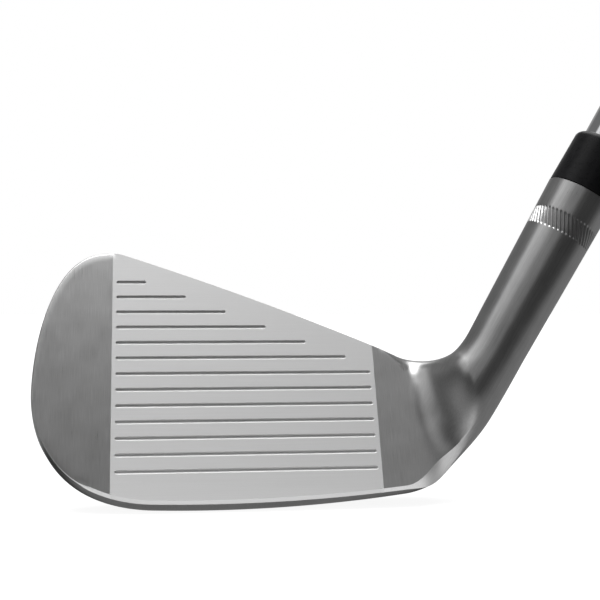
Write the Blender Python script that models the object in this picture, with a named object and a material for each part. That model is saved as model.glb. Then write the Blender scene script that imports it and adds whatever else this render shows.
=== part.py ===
"""Iron golf club, right-handed, standing at address with +Z up.

Head frame, in millimetres: X runs from the toe to the heel, Y from the face to
the back, Z up from the ground. X = 0 is the middle of the score lines and Y = 0
is the face plane at the lowest score line. On the face plane, u runs along the
score lines, v up the face and w into the head, square to the face.
Everything hangs from an empty that puts the hold point on the grip at the origin.
"""
import math

import bmesh
import bpy
from mathutils import Matrix, Vector

MM = 0.001

# Driving dimensions: millimetres and degrees -------------------------------
CLUB_LENGTH = 978.0          # ground to the end of the cap, along the shaft
LOFT = 24.5
LIE = 60.2
GAP = 0.3                    # between faces that touch end to end
BOND_GAP = 0.15              # round the nested sleeves of the shaft bond

# Score lines
LINE_PITCH = 3.4
LINE_COUNT = 13
SHORT_LINES = 6              # the upper lines, cut off parallel to the topline
LINE_HALF_LENGTH = 26.0
LINE_WIDTH = 0.7
LINE_DEPTH = 0.35
LINE_FLOOR = 0.2             # width of the flat at the bottom
CUTTER_PROUD = 0.5
LINE_HEIGHT = 8.0            # lowest line above the ground, at the face
SHORT_LINE_END = -20.0       # heel end of the highest line
SHORT_LINE_STEP = 8.22       # each line below ends this much nearer the heel

# Blade outline on the face plane: (u, v)
TOPLINE_TOE = (-24.0, 47.2)
TOE_TIP = (-42.8, 17.0)
SOLE_TOE = (-19.0, -6.5)
TOE_UPPER_HANDLES = ((-38.0, 52.4), (-42.8, 31.3))
TOE_LOWER_HANDLES = ((-42.8, 5.0), (-35.2, -5.6))
BLADE_END = 31.5             # u where the blade starts to turn into the hosel
TOPLINE_END = 24.5           # v of the topline there
TOPLINE_CROWN = 0.75
SOLE_LOW_POINT = (-7.0, -6.7)
SOLE_ROCKER = 0.00142        # rise of the leading edge per u squared

# Blade thickness, square to the face
BLADE_THICKNESS = 5.4
MUSCLE_THICKNESS = 13.8      # at the trailing edge
MUSCLE_TOP = 17.5            # v where the muscle's step starts
MUSCLE_STEP = 5.0
MUSCLE_RISE = 3.4
TOE_MUSCLE = 0.45            # share of the muscle left at the toe's tip
TOE_MUSCLE_REACH = 24.0
SPINE_TOE = (-22.0, 18.0)
SPINE_HEEL_V = 10.0

# Edges
SOLE_FROM = 0.35             # downward slope of the outline where the sole's shape starts
EDGE_BEVEL = 0.45
RIM_CROWN = 0.35             # how far the rim's corners fall back from its middle
CHAMFER_DROP = 0.69
CHAMFER_DEPTH = 0.42
BACK_RADIUS = 1.2
SOLE_DIP = 1.75              # leading edge down to the lowest line of the sole
SOLE_DIP_REACH = 82.0        # distance from the low point where the dip would end
SOLE_DIP_END = 0.3           # fraction of the sole's depth where it is lowest
TRAILING_LIFT = 1.0

# Hosel
HOSEL_AXIS_X = 33.4          # where the shaft axis meets the ground
HOSEL_AXIS_Y = 4.3
HOSEL_TOP = 73.0             # along the axis from the ground
HOSEL_NECK = 36.5            # along the axis, where the hosel becomes round
HOSEL_TOP_RADIUS = 7.05
HOSEL_NECK_RADIUS = 6.3
HOSEL_TOP_CHAMFER = 0.25
INNER_RAIL_START = (6.6, 0.0, -2.6)   # curve handles of the turn from blade to hosel
INNER_RAIL_END = 6.2
OUTER_RAIL_START = (10.6, 0.0, 1.1)
OUTER_RAIL_END = 20.6
FLAT_UNTIL = 0.1             # share of the turn over which the face stays flat
FORWARD_AT = 0.72            # share of the turn where it has come forward to the hosel
CROTCH_ROUND_AT = 0.5        # share of the turn where the crotch side is round
CROTCH_REACH = 0.8           # of half the section, over which that side ends
SECTION_EVENNESS = 0.7       # how evenly the blade's section spreads round the hosel
BORE_DEPTH = 32.0

# Ferrule
FERRULE_LENGTH = 11.4
FERRULE_BASE_RADIUS = 7.0
FERRULE_TOP_RADIUS = 6.8
FERRULE_SHOULDER = 1.15

# Shaft
TIP_RADIUS = 5.3
BUTT_RADIUS = 7.62
STEP_COUNT = 12
FIRST_STEP = 255.0           # along the axis from the ground
STEP_SPACING = 35.0
TIP_TAPER = 0.1              # radius gained up to the first step
STEP_SLOPE = 1.5
TIP_WALL = 0.9
BUTT_WALL = 0.4

# Bond and tip weight
EPOXY_WALL = 0.2
EPOXY_LENGTH = 27.0
EPOXY_DEPTH = 1.5            # its top below the top of the hosel
PIN_FLANGE_THICKNESS = 1.0
PIN_LENGTH = 15.0
PIN_CHAMFER = 0.8
PIN_FLANGE_INSET = 0.1

# Grip
GRIP_LENGTH = 266.0
GRIP_MOUTH_RADIUS = 9.4
GRIP_BUTT_RADIUS = 12.6
GRIP_LIP = 0.6
GRIP_SWELL = 0.4             # share of the grip's taper that comes late, near the butt
TAPE_THICKNESS = 0.3
TAPE_INSET = 3.0             # short of the grip at both ends
CAP_THICKNESS = 5.0
CAP_RADIUS = 13.2
CAP_ROUND = 2.6
CAP_NECK_INSET = 0.3
VENT_RADIUS = 1.3
HOLD_FROM_BUTT = 110.0       # the hold point, down from the end of the cap
BAND_LENGTH = 40.0
BAND_BELOW_GRIP = 25.0
BAND_THICKNESS = 0.25

# Mesh density
ROUND_SEGMENTS = 32
FACE_STEPS = 5
RIM_STEPS = 7
BACK_STEPS = 6
BLADE_STATIONS = 9
TOE_RIBS = 19
TURN_STATIONS = 14
HOSEL_STATIONS = 3

# Places along the shaft axis, from the ground
SHAFT_START = HOSEL_TOP - BORE_DEPTH + 2.0 * GAP + PIN_FLANGE_THICKNESS
SHAFT_END = CLUB_LENGTH - CAP_THICKNESS - GAP
BORE_RADIUS = TIP_RADIUS + TIP_TAPER + EPOXY_WALL + 2.0 * BOND_GAP

SIN_LOFT = math.sin(math.radians(LOFT))
COS_LOFT = math.cos(math.radians(LOFT))
TAN_LOFT = SIN_LOFT / COS_LOFT
AXIS_POINT = Vector((HOSEL_AXIS_X, HOSEL_AXIS_Y, 0.0))
AXIS = Vector((math.cos(math.radians(LIE)), 0.0, math.sin(math.radians(LIE))))
OUTWARD = Vector((AXIS.z, 0.0, -AXIS.x))
BACKWARD = Vector((0.0, 1.0, 0.0))


def clear_scene():
    for old in list(bpy.data.objects):
        bpy.data.objects.remove(old, do_unlink=True)


def make_material(name, color, roughness, metallic):
    material = bpy.data.materials.new(name)
    material.use_nodes = True
    shader = material.node_tree.nodes["Principled BSDF"]
    shader.inputs["Base Color"].default_value = (*color, 1.0)
    shader.inputs["Roughness"].default_value = roughness
    shader.inputs["Metallic"].default_value = metallic
    return material


def add_object(name, mesh, parent, material, sharp_angle=35.0):
    obj = bpy.data.objects.new(name, mesh)
    bpy.context.scene.collection.objects.link(obj)
    obj.parent = parent
    mesh.materials.append(material)
    mesh.shade_smooth()
    mesh.set_sharp_from_angle(angle=math.radians(sharp_angle))
    return obj


def lerp(a, b, t):
    return a + (b - a) * t


def smooth(t):
    t = min(max(t, 0.0), 1.0)
    return t * t * (3.0 - 2.0 * t)


def bezier(p0, p1, p2, p3, t):
    s = 1.0 - t
    return s * s * s * p0 + 3.0 * s * s * t * p1 + 3.0 * s * t * t * p2 + t * t * t * p3


def face_point(u, v, w):
    """The head-frame point at (u, v) on the face plane and w behind it."""
    y = v * SIN_LOFT + w * COS_LOFT
    z = LINE_HEIGHT + v * COS_LOFT - w * SIN_LOFT
    return Vector((u, y, z))


# Club head -----------------------------------------------------------------
# The surface is a set of ribs. Each rib starts on the spine at the face, runs
# out to the outline, round the rim and back to the spine behind. The ribs go
# down the inner side of the hosel, along the topline, fan round the toe, and
# return along the sole and up the outer side of the hosel.

def topline_v(u):
    t = (u - TOPLINE_TOE[0]) / (BLADE_END - TOPLINE_TOE[0])
    return lerp(TOPLINE_TOE[1], TOPLINE_END, t) + TOPLINE_CROWN * 4.0 * t * (1.0 - t)


def leading_edge_v(u):
    return SOLE_LOW_POINT[1] + SOLE_ROCKER * (u - SOLE_LOW_POINT[0]) ** 2


def spine_v(u):
    t = (u - SPINE_TOE[0]) / (BLADE_END - SPINE_TOE[0])
    return lerp(SPINE_TOE[1], SPINE_HEEL_V, smooth(t))


def back_depth(u, v):
    """Depth of the back surface behind the face plane: blade, step and muscle."""
    step = smooth((MUSCLE_TOP - v) / MUSCLE_STEP)
    slope = max(0.0, MUSCLE_TOP - v) / MUSCLE_TOP
    full = MUSCLE_THICKNESS - BLADE_THICKNESS
    muscle = MUSCLE_RISE * step + (full - MUSCLE_RISE) * slope
    toe_fade = lerp(TOE_MUSCLE, 1.0, smooth((u - TOE_TIP[0]) / TOE_MUSCLE_REACH))
    return BLADE_THICKNESS + muscle * toe_fade


def sole_dip(u):
    """The sole's roll, deepest under the score lines and shallow at toe and heel."""
    return SOLE_DIP * (1.0 - ((u - SOLE_LOW_POINT[0]) / SOLE_DIP_REACH) ** 2)


def rim_offset(u, x, depth, sole):
    """How far the rim stands out from the outline at fraction x of its depth."""
    crown = -RIM_CROWN * (2.0 * x - 1.0) ** 2
    lean = -TAN_LOFT * depth * x
    roll = sole_dip(u) * math.sin(0.5 * math.pi * min(1.0, x / SOLE_DIP_END))
    lift = TRAILING_LIFT * smooth((x - SOLE_DIP_END) / (1.0 - SOLE_DIP_END))
    return lerp(crown, lean + (roll - lift) / COS_LOFT, sole)


def blade_rib(spine, edge, outward_v):
    """Points of one rib. outward_v is the up-face part of the outline's normal."""
    sole = smooth((-outward_v - SOLE_FROM) / (1.0 - SOLE_FROM))
    spine = Vector(spine)
    edge = Vector(edge)
    reach = (edge - spine).length
    along = (edge - spine) / reach
    inset = lerp(EDGE_BEVEL, CHAMFER_DROP, sole)
    rim_start = lerp(EDGE_BEVEL, CHAMFER_DEPTH, sole)
    points = []

    def put(distance, w):
        spot = spine + along * distance
        points.append(face_point(spot.x, spot.y, w))

    for i in range(FACE_STEPS + 1):
        put((reach - inset) * i / FACE_STEPS, 0.0)

    # The rim ends where it meets the back surface, found by a few repeats.
    rim_depth = BLADE_THICKNESS
    for _ in range(12):
        end = spine + along * (reach + rim_offset(edge.x, 1.0, rim_depth, sole))
        rim_depth = back_depth(end.x, end.y) - rim_start - BACK_RADIUS
    for i in range(RIM_STEPS + 1):
        x = (i / RIM_STEPS) ** lerp(1.0, 1.5, sole)
        put(reach + rim_offset(edge.x, x, rim_depth, sole), rim_start + rim_depth * x)

    rim_end = reach + rim_offset(edge.x, 1.0, rim_depth, sole)
    for angle in (30.0, 60.0):
        turn = math.radians(angle)
        pull = BACK_RADIUS * (1.0 - math.cos(turn))
        put(rim_end - pull, rim_start + rim_depth + BACK_RADIUS * math.sin(turn))
    for i in range(BACK_STEPS + 1):
        distance = (rim_end - BACK_RADIUS) * (1.0 - i / BACK_STEPS)
        spot = spine + along * distance
        put(distance, back_depth(spot.x, spot.y))
    return points


def blade_ribs_at(t):
    """The blade's upper and lower rib at t, from its heel end at 0 to the toe's fan at 1."""
    u = lerp(BLADE_END, SPINE_TOE[0], t)
    top_u = lerp(BLADE_END, TOPLINE_TOE[0], t)
    low_u = lerp(BLADE_END, SOLE_TOE[0], t)
    spine = (u, spine_v(u))
    upper = blade_rib(spine, (top_u, topline_v(top_u)), 1.0)
    lower = blade_rib(spine, (low_u, leading_edge_v(low_u)), -1.0)
    return upper, lower


def toe_outline(t):
    """The outline round the toe, from the topline at t = 0 to the sole at t = 1."""
    if t < 0.5:
        ends = (TOPLINE_TOE, *TOE_UPPER_HANDLES, TOE_TIP)
        t = t * 2.0
    else:
        ends = (TOE_TIP, *TOE_LOWER_HANDLES, SOLE_TOE)
        t = t * 2.0 - 1.0
    ends = [Vector(p) for p in ends]
    return bezier(*ends, t)


def toe_ribs():
    ribs = []
    for i in range(1, TOE_RIBS):
        t = i / TOE_RIBS
        tangent = (toe_outline(t + 0.002) - toe_outline(t - 0.002)).normalized()
        ribs.append(blade_rib(SPINE_TOE, toe_outline(t), -tangent.x))
    return ribs


def axis_at(distance):
    return AXIS_POINT + AXIS * distance


def hosel_radius(distance):
    t = (distance - HOSEL_NECK) / (HOSEL_TOP - HOSEL_NECK)
    return lerp(HOSEL_NECK_RADIUS, HOSEL_TOP_RADIUS, t)


def ring_angles(ring):
    """Where each point of a section goes on the round hosel, in radians.

    Angle 0 is the inner (crotch) side, a quarter turn is the back, half a turn
    is the outer side. The even spacing keeps the hosel round.
    """
    centre = sum(ring, Vector()) / len(ring)
    count = len(ring)
    angles = []
    previous = None
    for i, point in enumerate(ring):
        seen = math.atan2(point.y - centre.y, point.z - centre.z)
        if previous is not None:
            while seen < previous - math.pi:
                seen += 2.0 * math.pi
        previous = seen
        angles.append(seen)
    even_start = angles[0]
    return [lerp(a, even_start + 2.0 * math.pi * i / count, SECTION_EVENNESS)
            for i, a in enumerate(angles)]


def hosel_ring(distance, angles, radius):
    centre = axis_at(distance)
    return [centre + radius * (BACKWARD * math.sin(a) - OUTWARD * math.cos(a))
            for a in angles]


def extreme(ring, direction):
    return max(ring, key=lambda p: p.dot(direction))


def section_frame(inner, outer):
    middle = (inner + outer) * 0.5
    half = (outer - inner) * 0.5
    return middle, half


def across_section(ring, inner, outer):
    """Each point's place across the section: -1 at the inner rail, 1 at the outer."""
    middle, half = section_frame(inner, outer)
    return [(p - middle).dot(half) / half.length_squared for p in ring]


def blade_middle(z):
    """Depth along Y of the middle of the blade at a height."""
    return TAN_LOFT * (z - LINE_HEIGHT) + 0.5 * BLADE_THICKNESS / COS_LOFT


def head_ribs():
    """All ribs in order, from the hosel's inner side round the toe to its outer side."""
    upper = []
    lower = []
    for i in range(BLADE_STATIONS + 1):
        top, bottom = blade_ribs_at(i / BLADE_STATIONS)
        upper.append(top)
        lower.append(bottom)

    # Closed section at the blade's end: up the face, over the top, down the back.
    count = len(upper[0])
    blade_ring = upper[0] + lower[0][-2:0:-1]
    angles = ring_angles(blade_ring)
    hosel_start = hosel_ring(HOSEL_NECK, angles, hosel_radius(HOSEL_NECK))

    def flat(point):
        return Vector((point.x, 0.0, point.z))

    blade_in = flat(extreme(blade_ring, Vector((0, 0, 1))))
    blade_out = flat(extreme(blade_ring, Vector((0, 0, -1))))
    hosel_in = flat(axis_at(HOSEL_NECK) - OUTWARD * hosel_radius(HOSEL_NECK))
    hosel_out = flat(axis_at(HOSEL_NECK) + OUTWARD * hosel_radius(HOSEL_NECK))
    inner_rail = (blade_in, blade_in + Vector(INNER_RAIL_START),
                  hosel_in - AXIS * INNER_RAIL_END, hosel_in)
    outer_rail = (blade_out, blade_out + Vector(OUTER_RAIL_START),
                  hosel_out - AXIS * OUTER_RAIL_END, hosel_out)

    blade_across = across_section(blade_ring, blade_in, blade_out)
    hosel_across = across_section(hosel_start, hosel_in, hosel_out)
    rings = []
    for i in range(1, TURN_STATIONS):
        t = i / TURN_STATIONS
        middle, half = section_frame(bezier(*inner_rail, t), bezier(*outer_rail, t))
        forward = smooth((t - FLAT_UNTIL) / (FORWARD_AT - FLAT_UNTIL))
        early = smooth(t / CROTCH_ROUND_AT)
        ring = []
        for start, end, a, b in zip(blade_ring, hosel_start, blade_across, hosel_across):
            mix = lerp(forward, early, smooth(-a / CROTCH_REACH))
            spot = middle + half * lerp(a, b, mix)
            depth = lerp(blade_middle(spot.z), HOSEL_AXIS_Y, forward)
            own = lerp(start.y - blade_middle(start.z), end.y - HOSEL_AXIS_Y, mix)
            ring.append(spot + BACKWARD * (depth + own))
        rings.append(ring)
    rings.append(hosel_start)
    for i in range(1, HOSEL_STATIONS + 1):
        distance = lerp(HOSEL_NECK, HOSEL_TOP - HOSEL_TOP_CHAMFER, i / HOSEL_STATIONS)
        rings.append(hosel_ring(distance, angles, hosel_radius(distance)))
    rings.append(hosel_ring(HOSEL_TOP, angles, HOSEL_TOP_RADIUS - HOSEL_TOP_CHAMFER))
    rings.append(hosel_ring(HOSEL_TOP, angles, BORE_RADIUS))
    rings.append(hosel_ring(HOSEL_TOP - BORE_DEPTH, angles, BORE_RADIUS))

    inner_ribs = [ring[:count] for ring in reversed(rings)]
    outer_ribs = [[ring[0]] + ring[:count - 2:-1] for ring in rings]
    return inner_ribs + upper + toe_ribs() + lower[::-1] + outer_ribs


def skin(ribs):
    """A closed mesh over the ribs; the last ring, at the bottom of the bore, is capped."""
    bm = bmesh.new()
    rows = [[bm.verts.new(p * MM) for p in rib] for rib in ribs]
    for a, b in zip(rows, rows[1:]):
        for i in range(len(a) - 1):
            bm.faces.new((a[i], a[i + 1], b[i + 1], b[i]))
    bmesh.ops.remove_doubles(bm, verts=bm.verts, dist=0.01 * MM)
    bmesh.ops.dissolve_degenerate(bm, edges=bm.edges, dist=0.001 * MM)
    open_edges = [e for e in bm.edges if e.is_boundary]
    bmesh.ops.contextual_create(bm, geom=open_edges)
    bmesh.ops.recalc_face_normals(bm, faces=bm.faces)
    mesh = bpy.data.meshes.new("head_skin")
    bm.to_mesh(mesh)
    bm.free()
    return mesh


def line_end(index):
    """Heel end of a score line; line 0 is the highest."""
    if index < SHORT_LINES:
        return SHORT_LINE_END + SHORT_LINE_STEP * index
    return LINE_HALF_LENGTH


def score_line_cutter():
    """One V-shaped prism for each score line, standing proud of the face."""
    bm = bmesh.new()
    half = LINE_WIDTH * 0.5
    floor = LINE_FLOOR * 0.5
    for index in range(LINE_COUNT):
        v = LINE_PITCH * (LINE_COUNT - 1 - index)
        rows = []
        for u in (-LINE_HALF_LENGTH, line_end(index)):
            section = ((v - half, 0.0), (v - half, -CUTTER_PROUD), (v + half, -CUTTER_PROUD),
                       (v + half, 0.0), (v + floor, LINE_DEPTH), (v - floor, LINE_DEPTH))
            rows.append([bm.verts.new(face_point(u, q, w) * MM) for q, w in section])
        count = len(rows[0])
        for i in range(count):
            j = (i + 1) % count
            bm.faces.new((rows[0][i], rows[0][j], rows[1][j], rows[1][i]))
        bm.faces.new(rows[0][::-1])
        bm.faces.new(rows[1])
    bmesh.ops.recalc_face_normals(bm, faces=bm.faces)
    mesh = bpy.data.meshes.new("score_line_cutter")
    bm.to_mesh(mesh)
    bm.free()
    return mesh


# Turned pieces -------------------------------------------------------------

def along_shaft():
    """Turns local +Z onto the shaft axis, with its zero where the axis meets the ground."""
    turn = Matrix.Rotation(math.radians(90.0 - LIE), 4, "Y")
    return Matrix.Translation(AXIS_POINT * MM) @ turn


def turned_mesh(name, profile, segments=ROUND_SEGMENTS):
    """Spins a closed (radius, height) profile round local Z; radius 0 closes the piece."""
    bm = bmesh.new()
    rings = []
    for radius, height in profile:
        if radius == 0.0:
            rings.append([bm.verts.new((0.0, 0.0, height * MM))])
            continue
        ring = []
        for i in range(segments):
            a = 2.0 * math.pi * i / segments
            ring.append(bm.verts.new((radius * math.cos(a) * MM, radius * math.sin(a) * MM, height * MM)))
        rings.append(ring)
    closed = profile[0][0] > 0.0
    pairs = list(zip(rings, rings[1:]))
    if closed:
        pairs.append((rings[-1], rings[0]))
    for a, b in pairs:
        for i in range(segments):
            j = (i + 1) % segments
            if len(a) == 1:
                bm.faces.new((a[0], b[i], b[j]))
            elif len(b) == 1:
                bm.faces.new((a[i], a[j], b[0]))
            else:
                bm.faces.new((a[i], a[j], b[j], b[i]))
    bmesh.ops.recalc_face_normals(bm, faces=bm.faces)
    mesh = bpy.data.meshes.new(name)
    bm.to_mesh(mesh)
    bm.free()
    return mesh


def shaft_wall(height):
    t = (height - SHAFT_START) / (SHAFT_END - SHAFT_START)
    return lerp(TIP_WALL, BUTT_WALL, t)


def shaft_profile():
    """The stepped tube: up the outside, then down the inside, which follows the steps."""
    radius = TIP_RADIUS + TIP_TAPER
    rise = (BUTT_RADIUS - radius) / STEP_COUNT
    outside = [(TIP_RADIUS, SHAFT_START)]
    for i in range(STEP_COUNT):
        height = FIRST_STEP + STEP_SPACING * i
        outside.append((radius, height))
        radius += rise
        outside.append((radius, height + STEP_SLOPE))
    outside.append((BUTT_RADIUS, SHAFT_END))
    inside = [(r - shaft_wall(height), height) for r, height in reversed(outside)]
    return outside + inside


def ferrule_profile():
    """A tapered collar with a rounded shoulder at its top."""
    bottom = HOSEL_TOP + GAP
    top = bottom + FERRULE_LENGTH
    bore = TIP_RADIUS + TIP_TAPER + BOND_GAP
    profile = [(bore, bottom), (FERRULE_BASE_RADIUS, bottom)]
    for i in range(5):
        turn = math.radians(90.0 * i / 4)
        pull = FERRULE_SHOULDER * (1.0 - math.cos(turn))
        profile.append((FERRULE_TOP_RADIUS - pull,
                        top - FERRULE_SHOULDER * (1.0 - math.sin(turn))))
    profile.append((bore, top))
    return profile


def epoxy_profile():
    inner = TIP_RADIUS + TIP_TAPER + BOND_GAP
    bottom = HOSEL_TOP - EPOXY_DEPTH - EPOXY_LENGTH
    top = HOSEL_TOP - EPOXY_DEPTH
    return [(inner, bottom), (inner + EPOXY_WALL, bottom), (inner + EPOXY_WALL, top), (inner, top)]


def tip_weight_profile():
    """A flanged pin: the flange closes the tube's end and the stem stands inside it."""
    bottom = SHAFT_START - GAP - PIN_FLANGE_THICKNESS
    stem = TIP_RADIUS - TIP_WALL - BOND_GAP
    flange = TIP_RADIUS - PIN_FLANGE_INSET
    return [(0.0, bottom), (flange, bottom), (flange, SHAFT_START - GAP),
            (stem, SHAFT_START - GAP), (stem, bottom + PIN_LENGTH - PIN_CHAMFER),
            (stem - PIN_CHAMFER, bottom + PIN_LENGTH), (0.0, bottom + PIN_LENGTH)]


def grip_bore():
    return BUTT_RADIUS + TAPE_THICKNESS + 2.0 * BOND_GAP


def grip_profile():
    """A tapered sleeve with a rolled lip at its mouth."""
    mouth = CLUB_LENGTH - GRIP_LENGTH
    end = CLUB_LENGTH - CAP_THICKNESS - GAP
    bore = grip_bore()
    profile = [(bore, mouth), (GRIP_MOUTH_RADIUS - GRIP_LIP, mouth),
               (GRIP_MOUTH_RADIUS, mouth + GRIP_LIP)]
    for t in (0.1, 0.3, 0.5, 0.7, 0.85):
        profile.append((grip_radius(t), lerp(mouth, end, t)))
    profile.append((GRIP_BUTT_RADIUS, end))
    profile.append((bore, end))
    return profile


def grip_radius(t):
    """Outside of the grip at t along it, slim for most of it and fuller at the butt."""
    return lerp(GRIP_MOUTH_RADIUS, GRIP_BUTT_RADIUS, lerp(t, t ** 3, GRIP_SWELL))


def tape_profile():
    inner = BUTT_RADIUS + BOND_GAP
    mouth = CLUB_LENGTH - GRIP_LENGTH + TAPE_INSET
    end = SHAFT_END - TAPE_INSET
    return [(inner, mouth), (inner + TAPE_THICKNESS, mouth), (inner + TAPE_THICKNESS, end),
            (inner, end)]


def cap_profile():
    """A disc with rounded rims, a flat end and a vent through the middle."""
    bottom = CLUB_LENGTH - CAP_THICKNESS
    profile = [(VENT_RADIUS, bottom), (GRIP_BUTT_RADIUS - CAP_NECK_INSET, bottom)]
    for i in range(7):
        turn = math.radians(90.0 * i / 6)
        pull = CAP_ROUND * (1.0 - math.cos(turn))
        profile.append((CAP_RADIUS - pull, CLUB_LENGTH - CAP_ROUND * (1.0 - math.sin(turn))))
    profile.append((VENT_RADIUS, CLUB_LENGTH))
    return profile


def band_profile():
    inner = BUTT_RADIUS + BOND_GAP
    top = CLUB_LENGTH - GRIP_LENGTH - BAND_BELOW_GRIP
    bottom = top - BAND_LENGTH
    outer = inner + BAND_THICKNESS
    return [(inner, bottom), (outer, bottom), (outer, top), (inner, top)]


# Assembly ------------------------------------------------------------------

def add_cutter(name, mesh, parent):
    cutter = bpy.data.objects.new(name, mesh)
    bpy.context.scene.collection.objects.link(cutter)
    cutter.parent = parent
    cutter.display_type = "WIRE"
    cutter.hide_render = True
    return cutter


def cut(obj, cutter):
    boolean = obj.modifiers.new(cutter.name, "BOOLEAN")
    boolean.operation = "DIFFERENCE"
    boolean.solver = "EXACT"
    boolean.object = cutter


def add_head(parent):
    steel = make_material("satin_steel", (0.46, 0.46, 0.46), 0.32, 1.0)
    head = add_object("club_head", skin(head_ribs()), parent, steel)
    lines = add_cutter("score_line_cutter", score_line_cutter(), parent)
    cut(head, lines)


def add_turned(name, profile, parent, material):
    obj = add_object(name, turned_mesh(name, profile), parent, material)
    obj.matrix_local = along_shaft()


def build():
    clear_scene()
    frame = bpy.data.objects.new("club_frame", None)
    bpy.context.scene.collection.objects.link(frame)
    frame.location = -MM * axis_at(CLUB_LENGTH - HOLD_FROM_BUTT)
    bpy.context.view_layer.update()

    add_head(frame)
    add_turned("ferrule", ferrule_profile(), frame,
               make_material("black_ferrule", (0.012, 0.012, 0.013), 0.28, 0.0))
    add_turned("shaft", shaft_profile(), frame,
               make_material("chromed_tube", (0.62, 0.63, 0.64), 0.1, 1.0))
    add_turned("hosel_epoxy", epoxy_profile(), frame,
               make_material("cured_epoxy", (0.55, 0.5, 0.36), 0.4, 0.0))
    add_turned("tip_weight", tip_weight_profile(), frame,
               make_material("turned_brass", (0.72, 0.52, 0.22), 0.3, 1.0))
    add_turned("grip_sleeve", grip_profile(), frame,
               make_material("grip_rubber", (0.018, 0.018, 0.019), 0.75, 0.0))
    add_turned("grip_end_cap", cap_profile(), frame,
               make_material("cap_rubber", (0.022, 0.022, 0.023), 0.6, 0.0))
    add_turned("grip_tape", tape_profile(), frame,
               make_material("tape_paper", (0.72, 0.68, 0.58), 0.85, 0.0))
    add_turned("shaft_band", band_profile(), frame,
               make_material("foil_band", (0.16, 0.17, 0.18), 0.35, 0.6))


build()
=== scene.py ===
"""Looks of the iron golf club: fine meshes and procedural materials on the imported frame.

Head frame, in millimetres, as in the part's source: X from the toe to the heel, Y from
the face to the back, Z up from the ground, X = 0 at the middle of the score lines. On
the face plane u runs along the score lines, v up the face and w into the head. The
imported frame's origin is the hold point on the grip, HOLD in head-frame terms.
"""

import math

import bmesh
import bpy
import numpy as np
from mathutils import Matrix, Vector


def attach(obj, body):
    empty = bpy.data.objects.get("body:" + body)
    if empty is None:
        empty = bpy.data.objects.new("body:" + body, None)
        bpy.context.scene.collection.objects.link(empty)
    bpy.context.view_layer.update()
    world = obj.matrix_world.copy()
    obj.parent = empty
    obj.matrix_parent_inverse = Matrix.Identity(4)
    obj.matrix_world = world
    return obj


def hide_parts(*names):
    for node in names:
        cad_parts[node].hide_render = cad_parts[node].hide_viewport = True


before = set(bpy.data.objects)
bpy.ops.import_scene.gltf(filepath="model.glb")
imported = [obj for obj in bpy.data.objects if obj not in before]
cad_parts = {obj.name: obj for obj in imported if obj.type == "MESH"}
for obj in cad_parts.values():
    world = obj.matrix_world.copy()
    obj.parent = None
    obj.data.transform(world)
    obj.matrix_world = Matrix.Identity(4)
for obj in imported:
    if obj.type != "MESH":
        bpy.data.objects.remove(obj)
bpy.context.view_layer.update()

MM = 0.001

# Dimensions shared with the CAD part: millimetres and degrees ------------------
CLUB_LENGTH = 978.0
LOFT = 24.5
LIE = 60.2
GAP = 0.3
BOND_GAP = 0.15

LINE_PITCH = 3.4
LINE_COUNT = 13
SHORT_LINES = 6
LINE_HALF_LENGTH = 26.0
LINE_WIDTH = 0.7
LINE_DEPTH = 0.35
LINE_HEIGHT = 8.0
SHORT_LINE_END = -20.0
SHORT_LINE_STEP = 8.22

TOPLINE_TOE = (-24.0, 47.2)
TOE_TIP = (-42.8, 17.0)
SOLE_TOE = (-19.0, -6.5)
TOE_UPPER_HANDLES = ((-38.0, 52.4), (-42.8, 31.3))
TOE_LOWER_HANDLES = ((-42.8, 5.0), (-35.2, -5.6))
BLADE_END = 31.5
TOPLINE_END = 24.5
TOPLINE_CROWN = 0.75
SOLE_LOW_POINT = (-7.0, -6.7)
SOLE_ROCKER = 0.00142

BLADE_THICKNESS = 5.4
MUSCLE_THICKNESS = 13.8
MUSCLE_TOP = 17.5
MUSCLE_STEP = 5.0
MUSCLE_RISE = 3.4
TOE_MUSCLE = 0.45
TOE_MUSCLE_REACH = 24.0
SPINE_TOE = (-22.0, 18.0)
SPINE_HEEL_V = 10.0

SOLE_FROM = 0.35
RIM_CROWN = 0.35
CHAMFER_DROP = 0.69
CHAMFER_DEPTH = 0.42
BACK_RADIUS = 1.2
SOLE_DIP = 1.75
SOLE_DIP_REACH = 82.0
SOLE_DIP_END = 0.3
TRAILING_LIFT = 1.0

HOSEL_AXIS_X = 33.4
HOSEL_AXIS_Y = 4.3
HOSEL_TOP = 73.0
HOSEL_NECK = 36.5
HOSEL_TOP_RADIUS = 7.05
HOSEL_NECK_RADIUS = 6.3
INNER_RAIL_END = 6.2
OUTER_RAIL_START = (10.6, 0.0, 1.1)
OUTER_RAIL_END = 20.6
FORWARD_AT = 0.72
CROTCH_ROUND_AT = 0.5
CROTCH_REACH = 0.8
SECTION_EVENNESS = 0.7
BORE_DEPTH = 32.0

FERRULE_LENGTH = 11.4
FERRULE_BASE_RADIUS = 7.0
FERRULE_TOP_RADIUS = 6.8
FERRULE_SHOULDER = 1.15

TIP_RADIUS = 5.3
BUTT_RADIUS = 7.62
STEP_COUNT = 12
FIRST_STEP = 255.0
STEP_SPACING = 35.0
TIP_TAPER = 0.1
STEP_SLOPE = 1.5
TIP_WALL = 0.9
BUTT_WALL = 0.4
EPOXY_WALL = 0.2
PIN_FLANGE_THICKNESS = 1.0

GRIP_LENGTH = 266.0
GRIP_MOUTH_RADIUS = 9.4
GRIP_BUTT_RADIUS = 12.6
GRIP_LIP = 0.6
GRIP_SWELL = 0.4
TAPE_THICKNESS = 0.3
CAP_THICKNESS = 5.0
CAP_RADIUS = 13.2
CAP_ROUND = 2.6
VENT_RADIUS = 1.3
CAP_NECK_INSET = 0.3
HOLD_FROM_BUTT = 110.0
BAND_LENGTH = 40.0
BAND_BELOW_GRIP = 25.0
BAND_THICKNESS = 0.25

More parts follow.
